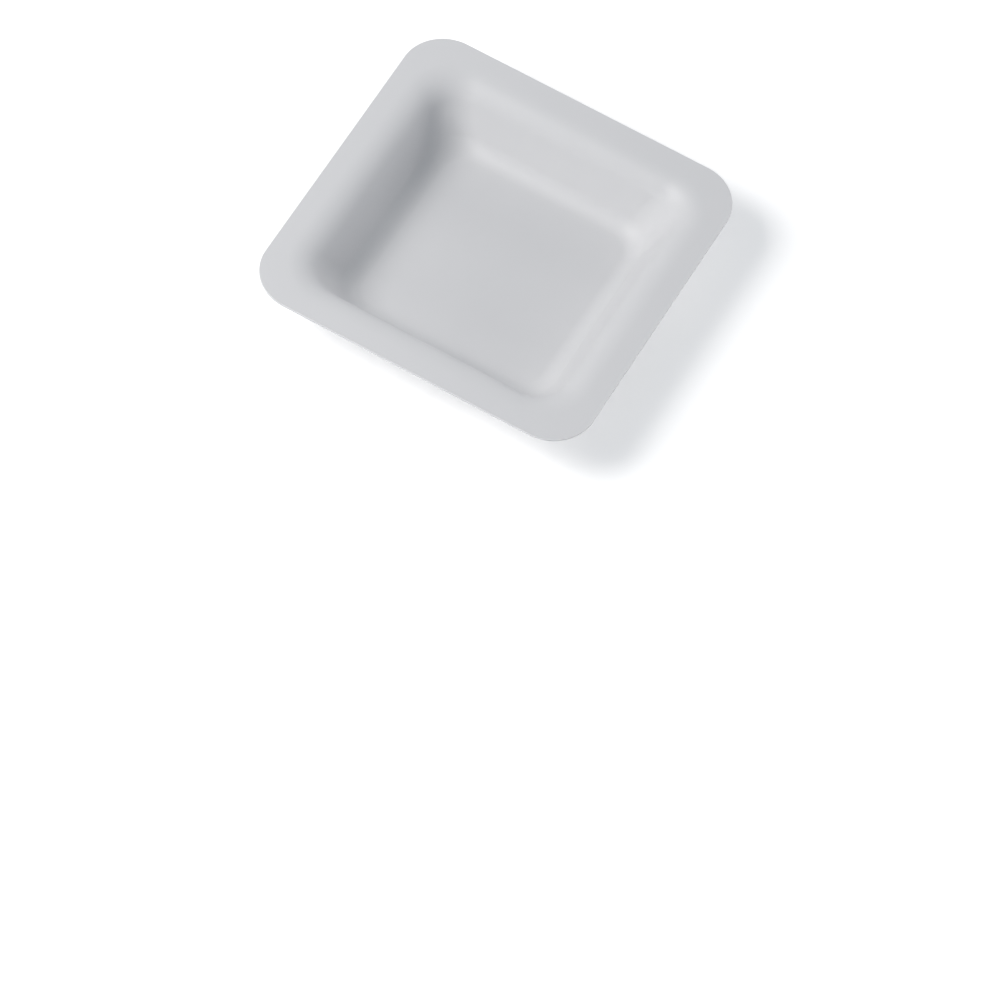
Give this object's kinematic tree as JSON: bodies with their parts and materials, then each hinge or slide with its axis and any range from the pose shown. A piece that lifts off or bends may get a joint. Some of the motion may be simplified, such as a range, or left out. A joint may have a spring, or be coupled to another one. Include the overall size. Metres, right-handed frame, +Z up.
{
  "type": "weighing boat",
  "caption": "Small square weighing boat: a shallow white plastic dish with a flat round-cornered rim, a soft rolled edge, leaning walls and a flat floor.",
  "frame": {"origin": "centre of the underside of the base, on the surface that the boat rests on", "axes": "+Z up out of the open dish; +X and +Y square to the four equal sides"},
  "size_m": [0.046, 0.046, 0.008],
  "materials": {
    "white_plastic": "smooth satin, cool white"
  },
  "bodies": {
    "root": {"boat": "white_plastic"}
  },
  "joints": []
}
